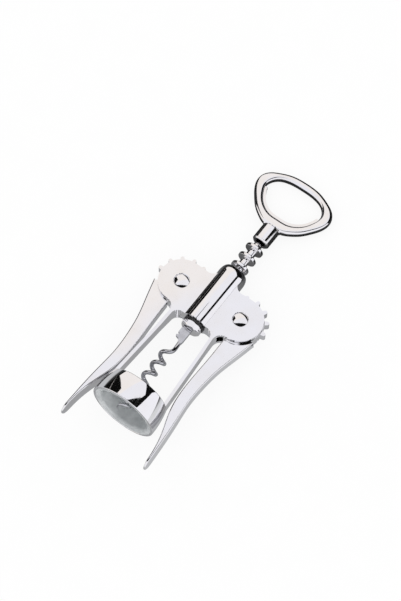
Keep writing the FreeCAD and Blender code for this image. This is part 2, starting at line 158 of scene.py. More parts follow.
def skin(name, rings, closed=False, seam=True):
    """Surface through rings of equally many points. Open ends are capped, or the last joins the first."""
    size = len(rings[0])
    points = [p for ring in rings for p in ring]
    faces = []
    spans = len(rings) if closed else len(rings) - 1
    for k in range(spans):
        here, there = k * size, (k + 1) % len(rings) * size
        for n in range(size if seam else size - 1):
            following = (n + 1) % size
            faces.append((here + n, here + following, there + following, there + n))
    if not closed:
        faces.append(tuple(range(size)))
        faces.append(tuple(range(len(points) - size, len(points))))
    return draft(name, points, faces)


def plate(name, outline, depth, middle=0.0):
    """Outline of the front view, pulled from front to back."""
    rings = [[(x, middle + side * depth / 2, z) for x, z in outline] for side in (-1, 1)]
    return skin(name, rings)


def turned(name, section, at=(0.0, 0.0), across=False, shut=True):
    """(Radius, height) section spun about an upright axis, or across from front to back."""
    rings = []
    for k in range(TURNED_SIDES):
        turn = math.tau * k / TURNED_SIDES
        if across:
            rings.append([(at[0] + r * math.cos(turn), y, at[1] + r * math.sin(turn)) for r, y in section])
        else:
            rings.append([(at[0] + r * math.cos(turn), at[1] + r * math.sin(turn), z) for r, z in section])
    made = skin(name, rings, closed=True, seam=shut)
    drop_flat_faces(made)
    return made


def drop_flat_faces(made):
    """Removes what is left of faces that had an edge on the axis."""
    form = bmesh.new()
    form.from_mesh(made.data)
    bmesh.ops.dissolve_degenerate(form, dist=1e-4, edges=form.edges)
    bmesh.ops.recalc_face_normals(form, faces=form.faces)
    form.to_mesh(made.data)
    form.free()


def cross_rod(name, radius, depth, x, z):
    """Cylinder that runs front to back."""
    turns = [math.tau * k / TURNED_SIDES for k in range(TURNED_SIDES)]
    return plate(name, [(x + radius * math.cos(a), z + radius * math.sin(a)) for a in turns], depth)


def combine(target, operation, *others):
    """Adds other drafts to one, or cuts them from it, and removes them."""
    for other in others:
        step = target.modifiers.new("combine", "BOOLEAN")
        step.operation = operation
        step.object = other
        step.solver = "EXACT"
        step.use_self = False
    settle(target)
    for other in others:
        bpy.data.objects.remove(other)
    return target


def settle(target):
    """Replaces an object's mesh with what its modifiers make of it."""
    graph = bpy.context.evaluated_depsgraph_get()
    mesh = bpy.data.meshes.new_from_object(target.evaluated_get(graph), depsgraph=graph)
    target.modifiers.clear()
    target.data = mesh
    return target


# %% [markdown]
# A draft becomes a finished piece in one place. It is laid down into the frame, its sharp
# edges get a small round, because no cast or plated edge is a knife, and weighted normals
# keep the large flats flat in reflections. The rivets go without them, being domed. A piece
# then rides on the body that carries it on the real corkscrew, and stands for the packed
# node of the same name.

# %% Finish a piece
SHARP = math.radians(32)


def finish(made, body, node, material, edge_round=0.0, edge_steps=3, flats=True):
    """Lays a draft down, rounds its sharp edges and hands it to the frame."""
    made.data.transform(LAY_DOWN)
    made.data.materials.clear()
    made.data.materials.append(material)
    made.data.shade_smooth()
    if edge_round:
        bevel = made.modifiers.new("edge round", "BEVEL")
        bevel.width = edge_round * MM
        bevel.segments = edge_steps
        bevel.limit_method = "ANGLE"
        bevel.angle_limit = SHARP
        bevel.miter_outer = "MITER_ARC"
        bevel.use_clamp_overlap = True
    if flats:
        weighted = made.modifiers.new("true flats", "WEIGHTED_NORMAL")
        weighted.mode = "FACE_AREA"
        weighted.weight = 50
    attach(made, body)
    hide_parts(node)
    print(node, "stands on", body, "with", len(made.data.polygons), "faces")
    return made


# %% [markdown]
# Chrome plate is a mirror, so its colour and reflectance are nearly one value everywhere.
# What makes it look real is small: hairline scratches that catch light, a film of smudges
# that dulls some patches, and a faint ripple left by casting and polishing. Each effect is
# one shader group with named inputs, built once and placed in each metal with other values.

# %% Shader group tools
def shader_group(name, inputs, outputs):
    """Empty node group with float inputs {name: default} and outputs {name: socket type}."""
    group = bpy.data.node_groups.new(name, "ShaderNodeTree")
    for label, value in inputs.items():
        socket = group.interface.new_socket(name=label, in_out="INPUT", socket_type="NodeSocketFloat")
        socket.default_value = value
    for label, kind in outputs.items():
        group.interface.new_socket(name=label, in_out="OUTPUT", socket_type=kind)
    return group, group.nodes.new("NodeGroupInput"), group.nodes.new("NodeGroupOutput")


def node(tree, kind, links=None, **settings):
    """Adds a node, sets its properties, and links or sets its inputs by name or number."""
    made = tree.nodes.new(kind)
    for key, value in settings.items():
        setattr(made, key, value)
    for key, value in (links or {}).items():
        if isinstance(value, bpy.types.NodeSocket):
            tree.links.new(value, made.inputs[key])
        else:
            made.inputs[key].default_value = value
    return made


def maths(tree, operation, *values):
    """One Math node on sockets or numbers."""
    return node(tree, "ShaderNodeMath", dict(enumerate(values)), operation=operation).outputs[0]


# %% [markdown]
# Hairlines are noise stretched thirty times along one direction and cut down to its thin
# peaks. Two sets at different angles cross each other, as they do on a tool from a drawer.

# %% Hairline scratches
def build_hairlines():
    group, given, result = shader_group(
        "hairlines", {"Scale": 420.0, "Amount": 1.0}, {"Mask": "NodeSocketFloat"})
    place = node(group, "ShaderNodeTexCoord").outputs["Object"]
    masks = []
    for turn, shift in ((0.35, 0.0), (-0.9, 3.1)):
        laid = node(group, "ShaderNodeMapping", {
            "Vector": place, "Location": (shift, shift, 0.0),
            "Rotation": (turn, 0.6 * turn, turn), "Scale": (1.0, 0.03, 1.0)}).outputs[0]
        lines = node(group, "ShaderNodeTexNoise", {
            "Vector": laid, "Scale": given.outputs["Scale"], "Detail": 2.0, "Roughness": 0.6}).outputs[0]
        masks.append(node(group, "ShaderNodeMapRange", {
            "Value": lines, "From Min": 0.66, "From Max": 0.74}).outputs[0])
    both = maths(group, "MAXIMUM", *masks)
    group.links.new(maths(group, "MULTIPLY", both, given.outputs["Amount"]), result.inputs["Mask"])
    return group


hairlines = build_hairlines()

# %% [markdown]
# Smudges are soft clouds a centimetre across. They only change how sharp the reflection is,
# and tint it a little, as a thin film of grease does.

# %% Smudges and ripple
def build_clouds():
    group, given, result = shader_group(
        "clouds", {"Scale": 90.0, "Low": 0.4, "High": 0.7}, {"Mask": "NodeSocketFloat"})
    place = node(group, "ShaderNodeTexCoord").outputs["Object"]
    soft = node(group, "ShaderNodeTexNoise", {
        "Vector": place, "Scale": given.outputs["Scale"], "Detail": 4.0, "Roughness": 0.55}).outputs[0]
    mask = node(group, "ShaderNodeMapRange", {
        "Value": soft, "From Min": given.outputs["Low"], "From Max": given.outputs["High"]}).outputs[0]
    group.links.new(mask, result.inputs["Mask"])
    return group


clouds = build_clouds()


def place_group(tree, group, **values):
    """Places a shared group in a material with its own values."""
    made = node(tree, "ShaderNodeGroup", node_tree=group)
    for key, value in values.items():
        made.inputs[key].default_value = value
    return made.outputs[0]


# %% [markdown]
# Each metal is a Principled shader at full metallic. Its base colour drifts a little between
# two close tints, its roughness rises on smudges and scratches, and a bump of a few
# micrometres bends the reflection: long ripple on a casting, fine rings on a turned piece,
# drawn lines on the worm's wire.

# %% Metals
def principled(name):
    """New material with its tree and its surface."""
    made = bpy.data.materials.new(name)
    made.use_nodes = True
    return made, made.node_tree, made.node_tree.nodes["Principled BSDF"]


def add_bump(tree, surface, height):
    """Bends the reflection by a height in micrometres."""
    bump = node(tree, "ShaderNodeBump", {"Height": height, "Strength": 1.0, "Distance": 1e-6})
    tree.links.new(bump.outputs[0], surface.inputs["Normal"])


def metal(name, bright, dull, roughness, smudge, scratch, ripple, ripple_scale, grain=None):
    """Plated or bare metal. Grain is (stretch, scale, depth) for rings or drawn lines."""
    made, tree, surface = principled(name)
    surface.inputs["Metallic"].default_value = 1.0
    film = place_group(tree, clouds, Scale=95.0, Low=0.42, High=0.68)
    lines = place_group(tree, hairlines, Scale=430.0, Amount=1.0)
    tint = node(tree, "ShaderNodeMix", {"Factor": film, "A": bright, "B": dull}, data_type="RGBA")
    tree.links.new(tint.outputs["Result"], surface.inputs["Base Color"])
    rough = maths(tree, "MULTIPLY_ADD", film, smudge, roughness)
    rough = maths(tree, "MULTIPLY_ADD", lines, scratch, rough)
    tree.links.new(rough, surface.inputs["Roughness"])
    place = node(tree, "ShaderNodeTexCoord").outputs["Object"]
    waves = node(tree, "ShaderNodeTexNoise", {
        "Vector": place, "Scale": ripple_scale, "Detail": 1.0, "Roughness": 0.4}).outputs[0]
    height = maths(tree, "MULTIPLY", waves, ripple)
    if grain:
        stretch, scale, depth = grain
        laid = node(tree, "ShaderNodeMapping", {"Vector": place, "Scale": stretch}).outputs[0]
        fine = node(tree, "ShaderNodeTexNoise", {
            "Vector": laid, "Scale": scale, "Detail": 3.0, "Roughness": 0.6}).outputs[0]
        height = maths(tree, "MULTIPLY_ADD", fine, depth, height)
    add_bump(tree, surface, height)
    return made


COOL = (0.86, 0.86, 0.88, 1.0)
WARM = (0.84, 0.83, 0.83, 1.0)
cast_chrome = metal("cast chrome", COOL, WARM, 0.035, 0.03, 0.10, 9.0, 55.0)
bell_chrome = metal("bell chrome", COOL, WARM, 0.03, 0.02, 0.08, 5.0, 40.0)
pin_chrome = metal("pin chrome", COOL, WARM, 0.04, 0.03, 0.12, 3.0, 150.0)
turned_chrome = metal("turned chrome", COOL, WARM, 0.05, 0.03, 0.08, 2.0, 120.0,
                      grain=((0.02, 1.0, 0.02), 3000.0, 1.2))
worm_steel = metal("worm steel", (0.58, 0.585, 0.61, 1.0), (0.42, 0.425, 0.45, 1.0),
                   0.10, 0.08, 0.15, 3.0, 200.0, grain=((1.0, 0.05, 1.0), 2600.0, 3.0))

# %% [markdown]
# The two plastics differ from metal in that light enters them. The liner is milky grey and a
# little see-through, so it gets subsurface scattering and a mottled colour. The washer is
# black, with the dull sheen of moulded nylon.

# %% Plastics
def plastic(name, dark, light, roughness, mottle_scale, depth, glow=0.0):
    """Moulded plastic with a mottled colour and a fine moulding grain."""
    made, tree, surface = principled(name)
    mottle = place_group(tree, clouds, Scale=mottle_scale, Low=0.35, High=0.72)
    tint = node(tree, "ShaderNodeMix", {"Factor": mottle, "A": dark, "B": light}, data_type="RGBA")
    tree.links.new(tint.outputs["Result"], surface.inputs["Base Color"])
    tree.links.new(maths(tree, "MULTIPLY_ADD", mottle, 0.12, roughness), surface.inputs["Roughness"])
    surface.inputs["Subsurface Weight"].default_value = glow
    surface.inputs["Subsurface Scale"].default_value = 0.004
    surface.inputs["Subsurface Radius"].default_value = (1.0, 1.0, 1.0)
    place = node(tree, "ShaderNodeTexCoord").outputs["Object"]
    grain = node(tree, "ShaderNodeTexNoise", {"Vector": place, "Scale": 1800.0, "Detail": 2.0}).outputs[0]
    add_bump(tree, surface, maths(tree, "MULTIPLY", grain, depth))
    return made


liner_plastic = plastic("liner plastic", (0.40, 0.42, 0.43, 1.0), (0.64, 0.66, 0.67, 1.0),
                        0.3, 120.0, 12.0, glow=0.4)
washer_plastic = plastic("washer plastic", (0.012, 0.012, 0.013, 1.0), (0.03, 0.03, 0.03, 1.0),
                         0.32, 300.0, 10.0)
print("materials", [m.name for m in bpy.data.materials])

# %% [markdown]
# The casting is one piece of zinc: a tube for the shaft, two cheeks for the levers, and two
# straps down to the bell. Its silhouette is drawn once for the right half. The cheek is a
# round lobe about the pivot that flows into the strap through a small inner curve, so the
# curve's centre is worked out where a line beside the strap meets a circle about the pivot.

# %% Sizes of the casting
tube_top = height_in("frame")[1]
tube_bottom = 63.3
tube_radius = 7.95
tube_round = (2.2, 5.0)
bore_radius = 5.55
lobe_radius = 12.7
casting_depth = 9.4
inner_curve = 5.2
shoulder_start = 12.6
neck_point = (5.95, 93.9)
bend_shift = (1.7, 1.0)
strap_thickness = 1.85
strap_depth = 7.4
strap_top = (14.35, 57.0)
strap_foot_x = 17.0
bell_height = 14.66
crotch_round = 4.2
relief_top, relief_end, relief_foot = 60.0, 50.0, 10.0
slot_width = 5.4
slot_radius = 16.05
pin_radius = 4.35
clearance = 0.05
hole_radius = pin_radius + clearance
cut_past = 5.0
casting_edge = 0.6
bell_top_wall = 1.5
tongue_depth = 3.7


def strap_outer(z):
    """Outer face of the right strap, which leans out towards the bell."""
    share = (strap_top[1] - z) / (strap_top[1] - bell_height)
    return strap_top[0] + share * (strap_foot_x - strap_top[0])


def arc_through(a, b, c):
    """Arc from the first point through the second to the third."""
    (ax, az), (bx, bz), (cx, cz) = a, b, c
    d = 2 * (ax * (bz - cz) + bx * (cz - az) + cx * (az - bz))
    a2, b2, c2 = ax * ax + az * az, bx * bx + bz * bz, cx * cx + cz * cz
    centre = ((a2 * (bz - cz) + b2 * (cz - az) + c2 * (az - bz)) / d,
              (a2 * (cx - bx) + b2 * (ax - cx) + c2 * (bx - ax)) / d)
    start, end = [math.degrees(math.atan2(z - centre[1], x - centre[0])) for x, z in (a, c)]
    turn = (end - start + 180) % 360 - 180
    return arc(centre, math.hypot(ax - centre[0], az - centre[1]), start, start + turn)


def cheek_side():
    """Lobe about the pivot and the inner curve that leads into the strap."""
    lean = (strap_foot_x - strap_top[0]) / (strap_top[1] - bell_height)
    reach = lobe_radius + inner_curve
    side_x = strap_top[0] + inner_curve * math.hypot(1, lean)
    dx, dz = side_x - pivot_x, strap_top[1] - pivot_z
    a, b, c = lean ** 2 + 1, 2 * (dz - lean * dx), dx * dx + dz * dz - reach ** 2
    rise = (-b - math.sqrt(b * b - 4 * a * c)) / (2 * a)
    centre = (side_x - lean * rise, strap_top[1] + rise)
    to_lobe = math.degrees(math.atan2(pivot_z - centre[1], pivot_x - centre[0]))
    lobe = arc((pivot_x, pivot_z), lobe_radius, 90, to_lobe - 180)
    return lobe + arc(centre, inner_curve, to_lobe, 180 + math.degrees(math.atan(lean)))


def casting_outline():
    """Silhouette of the cheeks and straps, without the tube."""
    lobe_top = pivot_z + lobe_radius
    bend = (neck_point[0] + bend_shift[0], lobe_top + bend_shift[1])
    right = [(0.0, neck_point[1])]
    right += arc_through(neck_point, bend, (shoulder_start, lobe_top))
    right += cheek_side()
    foot_x = strap_outer(bell_height)
    right += [(foot_x, bell_height), (foot_x - strap_thickness, bell_height)]
    crotch = (strap_outer(tube_bottom) - strap_thickness, tube_bottom)
    right += corner_arc(right[-1], crotch, (0.0, tube_bottom), crotch_round)
    right += [(0.0, tube_bottom)]
    return right + mirrored(right)


print("casting outline", len(casting_outline()), "points")

# %% [markdown]
# The plate, the tube and the two tongues that enter the bell are added to each other. Then
# the bore, the two lever slots, the rivet holes and the relief in front of and behind the
# straps are cut. Cutting after adding is how the real casting is machined too, and it keeps
# the crease where the tube leaves the cheeks crisp.

# %% Casting
def block(name, x0, x1, y0, y1, z0, z1):
    """Plain block between two corners, used to add a tongue or to cut."""
    return plate(name, [(x0, z0), (x1, z0), (x1, z1), (x0, z1)], y1 - y0, (y0 + y1) / 2)


def tongues(gap, bottom, top):
    """The two tongues at the straps' feet, or with a gap the cutters for their slots."""
    inner = strap_foot_x - strap_thickness + 0.1 - gap
    outer = strap_foot_x - 0.25 + gap
    half = tongue_depth / 2 + gap
    return [block("tongue", min(side * inner, side * outer), max(side * inner, side * outer),
                  -half, half, bottom, top) for side in (-1, 1)]


def strap_relief(side):
    """Cutter that thins the casting from cheek depth to strap depth in front or behind."""
    deep, thin = side * casting_depth / 2, side * strap_depth / 2
    out = side * casting_depth
    section = [(deep, relief_top), (thin, relief_end), (thin, relief_foot),
               (out, relief_foot), (out, relief_top)]
    return skin("relief", [[(x, y, z) for y, z in section] for x in (-30.0, 30.0)])


def make_casting():
    body = plate("casting", casting_outline(), casting_depth)
    across, along = tube_round
    shoulder = [(tube_radius - across * (1 - math.cos(a)), tube_top - along * (1 - math.sin(a)))
                for a in np.radians(np.linspace(0, 90, 16))]
    tube = turned("tube", [(0, tube_bottom), (tube_radius, tube_bottom), *shoulder, (0, tube_top)])
    combine(body, "UNION", tube, *tongues(0.0, bell_height - bell_top_wall, bell_height + 0.5))
    below, above = tube_bottom - cut_past, tube_top + cut_past
    bore = turned("bore", [(0, below), (bore_radius, below), (bore_radius, above), (0, above)])
    slots = [cross_rod("slot", slot_radius, slot_width, side * pivot_x, pivot_z) for side in (-1, 1)]
    holes = [cross_rod("hole", hole_radius, 2 * casting_depth, side * pivot_x, pivot_z) for side in (-1, 1)]
    reliefs = [strap_relief(side) for side in (-1, 1)]
    return combine(body, "DIFFERENCE", bore, *slots, *holes, *reliefs)


finish(make_casting(), "frame", "frame", cast_chrome, edge_round=casting_edge)

# %% [markdown]
# The bell is a drawn steel cup whose side is one shallow arc, a little narrower at the top.
# A turned section gives it exactly: the outer arc, a small round at each rim, the wall, and
# the flat top with its hole for the worm. Two slots in the top take the straps' tongues.

# %% Bell
mouth_radius = (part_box("bell")[1].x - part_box("bell")[0].x) / 2 / MM
bell_taper = 1.75
bell_widest = 1.5
bell_wall = 1.2
bell_edge = 0.5
worm_hole_radius = 8.0


def bell_radius(z, inset=0.0):
    """Radius of the bell's side at a height, moved in by a wall."""
    bulge = (bell_taper ** 2 + (bell_height - bell_widest) ** 2) / (2 * bell_taper)
    return mouth_radius - bulge + math.sqrt(bulge * bulge - (z - bell_widest) ** 2) - inset


def bell_side(bottom, top, inset, steps=12):
    """Section points up the bell's side."""
    heights = [bottom + (top - bottom) * k / steps for k in range(steps + 1)]
    return [(bell_radius(z, inset), z) for z in heights]


def make_bell():
    inner_top = bell_height - bell_top_wall
    corner = [(bell_radius(0.0), 0.0), (bell_radius(bell_height), bell_height)]
    outside = corner_arc((corner[0][0] - 2, 0.0), corner[0], (bell_radius(2.0), 2.0), bell_edge)
    outside += bell_side(1.2, bell_height - 1.2, 0.0)
    outside += corner_arc((bell_radius(bell_height - 2.0), bell_height - 2.0), corner[1],
                          (corner[1][0] - 2, bell_height), bell_edge)
    inside = bell_side(inner_top, 0.0, bell_wall)
    hole = corner_arc((worm_hole_radius + 2, bell_height), (worm_hole_radius, bell_height),
                      (worm_hole_radius, inner_top), 0.3)
    section = outside + hole + [(worm_hole_radius, inner_top)] + inside
    return combine(turned("bell", section), "DIFFERENCE", *tongues(clearance, inner_top - 1, bell_height + 1))


finish(make_bell(), "frame", "bell", bell_chrome)

# %% [markdown]
# The liner is moulded plastic. Nothing on it is sharp: its mouth is a wide round that a
# bottle's neck slides over, and it fills the bell from wall to bore. The round is most of
# what shows of it, so it gets its own arc instead of a thin bevel.

# %% Liner
liner_bore = 15.2
liner_mouth_round = 2.2
liner_top_wall = 1.7
liner_rim_round = 0.35


def make_liner():
    top = bell_height - bell_top_wall
    shelf = top - liner_top_wall
    fit = bell_wall + clearance
    rim = bell_radius(0.0, fit)
    section = corner_arc((rim - 2, 0.0), (rim, 0.0), (bell_radius(2.0, fit), 2.0), liner_rim_round)
    section += bell_side(1.0, top, fit)
    section += [(worm_hole_radius, top)]
    section += corner_arc((worm_hole_radius, top), (worm_hole_radius, shelf),
                          (worm_hole_radius + 2, shelf), 0.4)
    section += corner_arc((worm_hole_radius + 2, shelf), (liner_bore, shelf), (liner_bore, shelf - 3), 0.8)
    section += corner_arc((liner_bore, 4.0), (liner_bore, 0.0), (rim, 0.0), liner_mouth_round)
    return turned("bell_liner", section)


finish(make_liner(), "frame", "bell_liner", liner_plastic)

# %% [markdown]
# Each lever turns on a rivet through both cheeks. The rivet's head is a shallow dome sunk a
# little below the face, so a thin dark gap rings it. The same turning tool makes it when the
# axis is laid from front to back.

# %% Rivets
pin_half = (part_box("right_pivot_pin")[1].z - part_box("right_pivot_pin")[0].z) / 2 / MM
pin_dome = 0.9


def make_pin(name, x):
    sphere = (pin_radius ** 2 + pin_dome ** 2) / (2 * pin_dome)
    spread = math.degrees(math.asin(pin_radius / sphere))
    dome = arc((0.0, pin_half - sphere), sphere, 90 - spread, 90, step=2.0)
    section = dome + [(r, -y) for r, y in reversed(dome)]
    return turned(name, section, (x, pivot_z), across=True)


for pin, side in (("left_pivot_pin", -1), ("right_pivot_pin", 1)):
    finish(make_pin(pin, side * pivot_x), "frame", pin, pin_chrome, edge_round=0.12,
           edge_steps=2, flats=False)

# %% [markdown]
# A lever has three thicknesses. Its hub and teeth are one flat plate that runs between the
# cheeks, the web beside the hub is thinner, and the arm outside the cheeks is thicker, so a
# shoulder shows where it starts. The nine teeth are one tooth repeated about the pivot,
# which is a job for Geometry Nodes: the tree takes one tooth and turns a copy of it for
# every point.

# %% Teeth by Geometry Nodes
hub_radius = 12.9
hub_thickness = 5.0
web_radius = 15.25
web_thickness = 3.0
web_from, web_to = -92.0, -27.0
tooth_count = 9
first_tooth = 3.65
tooth_step = 26.5
tooth_width = 2.1
tooth_tip = 15.45
tooth_root = 11.9
tooth_flare = 0.35


def geometry_group(name, inputs):
    """Geometry Nodes tree with inputs {name: (socket type, default)}, its group nodes and sockets."""
    tree = bpy.data.node_groups.new(name, "GeometryNodeTree")
    tree.interface.new_socket(name="Geometry", in_out="INPUT", socket_type="NodeSocketGeometry")
    for label, (kind, value) in inputs.items():
        socket = tree.interface.new_socket(name=label, in_out="INPUT", socket_type=kind)
        if value is not None:
            socket.default_value = value
    tree.interface.new_socket(name="Geometry", in_out="OUTPUT", socket_type="NodeSocketGeometry")
    return tree, tree.nodes.new("NodeGroupInput"), tree.nodes.new("NodeGroupOutput")


def end_tree(tree, given, result, geometry):
    """Realizes what the tree made and gives it its material."""
    real = node(tree, "GeometryNodeRealizeInstances", {"Geometry": geometry})
    coated = node(tree, "GeometryNodeSetMaterial", {
        "Geometry": real.outputs[0], "Material": given.outputs["Material"]})
    tree.links.new(coated.outputs[0], result.inputs["Geometry"])


def grow(target, tree, **values):
    """Runs a Geometry Nodes tree on a draft with its own values and keeps the plain mesh."""
    step = target.modifiers.new("grow", "NODES")
    step.node_group = tree
    for item in tree.interface.items_tree:
        if item.item_type == "SOCKET" and item.in_out == "INPUT" and item.name in values:
            step[item.identifier] = values[item.name]
    target.update_tag()
    return settle(target)


def build_teeth_tree():
    tree, given, result = geometry_group("gear teeth", {
        "Count": ("NodeSocketInt", 9), "First": ("NodeSocketFloat", 0.0),
        "Step": ("NodeSocketFloat", 0.5), "Material": ("NodeSocketMaterial", None)})
    points = node(tree, "GeometryNodePoints", {"Count": given.outputs["Count"]})
    index = node(tree, "GeometryNodeInputIndex").outputs[0]
    angle = maths(tree, "MULTIPLY_ADD", index, given.outputs["Step"], given.outputs["First"])
    turn = node(tree, "ShaderNodeCombineXYZ", {"Y": maths(tree, "MULTIPLY", angle, -1.0)}).outputs[0]
    copies = node(tree, "GeometryNodeInstanceOnPoints", {
        "Points": points.outputs[0], "Instance": given.outputs["Geometry"], "Rotation": turn})
    end_tree(tree, given, result, copies.outputs[0])
    return tree


teeth_tree = build_teeth_tree()


def make_teeth():
    """Ring of teeth about the origin, each a peg with a round end."""
    half = tooth_width / 2
    outline = arc((tooth_tip - half, 0.0), half, -90, 90)
    outline += [(tooth_root, half + tooth_flare), (tooth_root, -half - tooth_flare)]
    one = plate("teeth", outline, hub_thickness)
    return grow(one, teeth_tree, Count=tooth_count, First=math.radians(first_tooth),
                Step=math.radians(tooth_step), Material=cast_chrome)


# %% [markdown]
# The arm is a skin through many rounded rectangles. Nine stations say where its inner and
# outer edges run and how deep it is, and a smooth cubic fills in between them, so that the
# long reflections down the arm stay calm. Plain straight stretches would show every station
# as a break in the shine.

# %% Lever arm
arm_stations = [
    (71.0, 18.4, 32.3, 0.0), (61.5, 18.3, 30.0, 0.0), (48.0, 18.05, 26.6, 0.05),
    (36.0, 17.55, 24.95, 0.25), (24.0, 17.7, 24.45, 0.6), (13.0, 19.4, 25.3, 0.88),
    (2.0, 22.8, 26.2, 1.0), (-7.0, 24.8, 26.7, 1.0), (-14.0, 25.6, 27.0, 0.97)]
arm_depth = 6.4
pad_depth = 9.0
arm_tip_length = 5.0
arm_round = 0.75
shoulder_gap = 1.75
lever_play = 0.8


def smooth(points, steps, closed=False):
    """Cubic curve through points of any dimension, with this many steps between neighbours."""
    given = np.array(points, float)
    count = len(given)
    spans = count if closed else count - 1
    following = np.roll(given, -1, axis=0)
    gap = np.linalg.norm(following - given, axis=1)[:spans, None]
    slope = (following - given)[:spans] / gap
    system = np.zeros((count, count))
    wanted = np.zeros_like(given)
    for k in range(count):
        if not closed and k in (0, count - 1):
            system[k, k] = 1.0
            continue
        before, after = gap[k - 1, 0], gap[k % spans, 0]
        system[k, k - 1] += before
        system[k, k] += 2 * (before + after)
        system[k, (k + 1) % count] += after
        wanted[k] = 6 * (slope[k % spans] - slope[k - 1])
    bend = np.linalg.solve(system, wanted)
    curve = []
    for k in range(spans):
        a, b, size = given[k], following[k], gap[k, 0]
        bend_a, bend_b = bend[k], bend[(k + 1) % count]
        for t in np.arange(steps) / steps:
            curve.append((1 - t) * a + t * b + size * size / 6 * (
                ((1 - t) ** 3 - (1 - t)) * bend_a + (t ** 3 - t) * bend_b))
    if not closed:
        curve.append(given[-1])
    return curve


def arm_ring(z, inner, outer, half):
    """Rounded rectangle across the arm at one height."""
    r = min(arm_round, (outer - inner) / 2.2, half * 0.9)
    corners = [(inner, -half, r), (outer, -half, r), (outer, half, r), (inner, half, r)]
    return [(x, y, z) for x, y in rounded(corners)]


def make_arm():
    """Arm from the shoulder to the tip, whose end is rounded like a quarter circle."""
    rings = []
    for z, inner, outer, share in smooth(arm_stations, 6):
        rings.append(arm_ring(z, inner, outer, (arm_depth + share * (pad_depth - arm_depth)) / 2))
    last = rings[-1][0][2]
    inner, outer, share = arm_stations[-1][1:]
    deep = (arm_depth + share * (pad_depth - arm_depth)) / 2
    for angle in np.radians([20, 38, 52, 64, 74, 82, 87]):
        drop = arm_tip_length * math.sin(angle)
        thin = 0.3 * (1 - math.cos(angle))
        rings.append(arm_ring(last - drop, inner + 0.06 * drop + thin, outer + 0.03 * drop - thin,
                              max(deep * math.cos(angle), 0.35)))
    return skin("arm", rings)


def make_lever(name, side, lean):
    """Right lever about its pivot, or its mirror image."""
    centre = (pivot_x, pivot_z)
    lever = cross_rod(name, hub_radius, hub_thickness, *centre)
    web = plate("web", [centre] + arc(centre, web_radius, web_from, web_to), web_thickness)
    teeth = make_teeth()
    teeth.data.transform(Matrix.Translation((pivot_x, 0, pivot_z)))
    arm = make_arm()
    combine(arm, "DIFFERENCE", cross_rod("shoulder", lobe_radius + shoulder_gap, 2 * pad_depth, *centre))
    combine(lever, "UNION", web, arm, teeth)
    combine(lever, "DIFFERENCE", cross_rod("hole", hole_radius, 2 * pad_depth, *centre))
    pivot = Vector((pivot_x, 0, pivot_z))
    turn = Matrix.Rotation(-math.radians(lean), 4, "Y")
    lever.data.transform(Matrix.Translation(pivot) @ turn @ Matrix.Translation(-pivot))
    if side < 0:
        lever.data.transform(Matrix.Scale(-1, 4, (1, 0, 0)))
        lever.data.flip_normals()
    return lever


for lever, side in (("right_lever", 1), ("left_lever", -1)):
    finish(make_lever(lever, side, side * lever_play), lever, lever, cast_chrome,
           edge_round=0.35)

# %% [markdown]
# The shaft is a round rack: discs at an even pitch, which the levers' teeth climb. One open
# link, half a neck, a disc and half a neck, is repeated up the shaft by Geometry Nodes. The
# copies meet edge to edge, so merging their doubles leaves one clean skin, and only the two
# ends need closing.

# %% Ribbed shaft
rib_radius = 5.25
rib_thickness = 1.9
rib_corner = 0.42
rib_pitch = 6.642
neck_radius = 2.45
root_round = 0.3


def build_links_tree():
    tree, given, result = geometry_group("shaft links", {
        "Count": ("NodeSocketInt", 9), "Pitch": ("NodeSocketFloat", 6.0),
        "Material": ("NodeSocketMaterial", None)})
    rise = node(tree, "ShaderNodeCombineXYZ", {"Z": given.outputs["Pitch"]}).outputs[0]
    row = node(tree, "GeometryNodeMeshLine", {"Count": given.outputs["Count"], "Offset": rise})
    copies = node(tree, "GeometryNodeInstanceOnPoints", {
        "Points": row.outputs[0], "Instance": given.outputs["Geometry"]})
    end_tree(tree, given, result, copies.outputs[0])
    return tree


def make_link(middle):
    """Open skin of one disc with half a neck above and below it."""
    half, reach = rib_thickness / 2, rib_pitch / 2
    above = corner_arc((neck_radius, half + 1), (neck_radius, half), (neck_radius + 1, half), root_round)
    above += corner_arc((neck_radius, half), (rib_radius, half), (rib_radius, 0.0), rib_corner)
    above = [(neck_radius, reach)] + above
    section = above + [(r, -z) for r, z in reversed(above)]
    return turned("rack_shaft", [(r, middle + z) for r, z in section], shut=False)


def make_rack_shaft():
    low, high = height_in("rack_shaft")
    first = math.ceil((tube_bottom + rib_thickness / 2 - pivot_z) / rib_pitch)
    last = math.floor((height_in("handle_collar")[0] - rib_thickness - pivot_z) / rib_pitch)
    shaft = grow(make_link(pivot_z + first * rib_pitch), build_links_tree(),
                 Count=last - first + 1, Pitch=rib_pitch, Material=turned_chrome)
    form = bmesh.new()
    form.from_mesh(shaft.data)
    bmesh.ops.remove_doubles(form, verts=form.verts, dist=1e-4)
    ends = [v for v in form.verts if v.is_boundary]
    middle = (low + high) / 2
    for v in ends:
        v.co.z = low if v.co.z < middle else high
    bmesh.ops.holes_fill(form, edges=[e for e in form.edges if e.is_boundary])
    bmesh.ops.recalc_face_normals(form, faces=form.faces)
    form.to_mesh(shaft.data)
    form.free()
    print("shaft with", last - first + 1, "discs")
    return shaft


finish(make_rack_shaft(), "screw", "rack_shaft", turned_chrome)

# %% [markdown]
# Under the tube a black washer softens the stop, and a faceted ferrule holds the worm. The
# ferrule is an eight-sided bar whose ends were turned in a lathe, so it is made the same
# way: the bar is intersected with a turned form.

# %% Washer and ferrule
washer_radius = 6.2
ferrule_radius = 5.9
ferrule_sides = 8
ferrule_chamfer = 0.5


def make_washer():
    low, high = height_in("stop_washer")
    bore = neck_radius + clearance
    return turned("stop_washer", rounded([(bore, low, 0.15), (washer_radius, low, 0.4),
                                          (washer_radius, high, 0.4), (bore, high, 0.15)]))


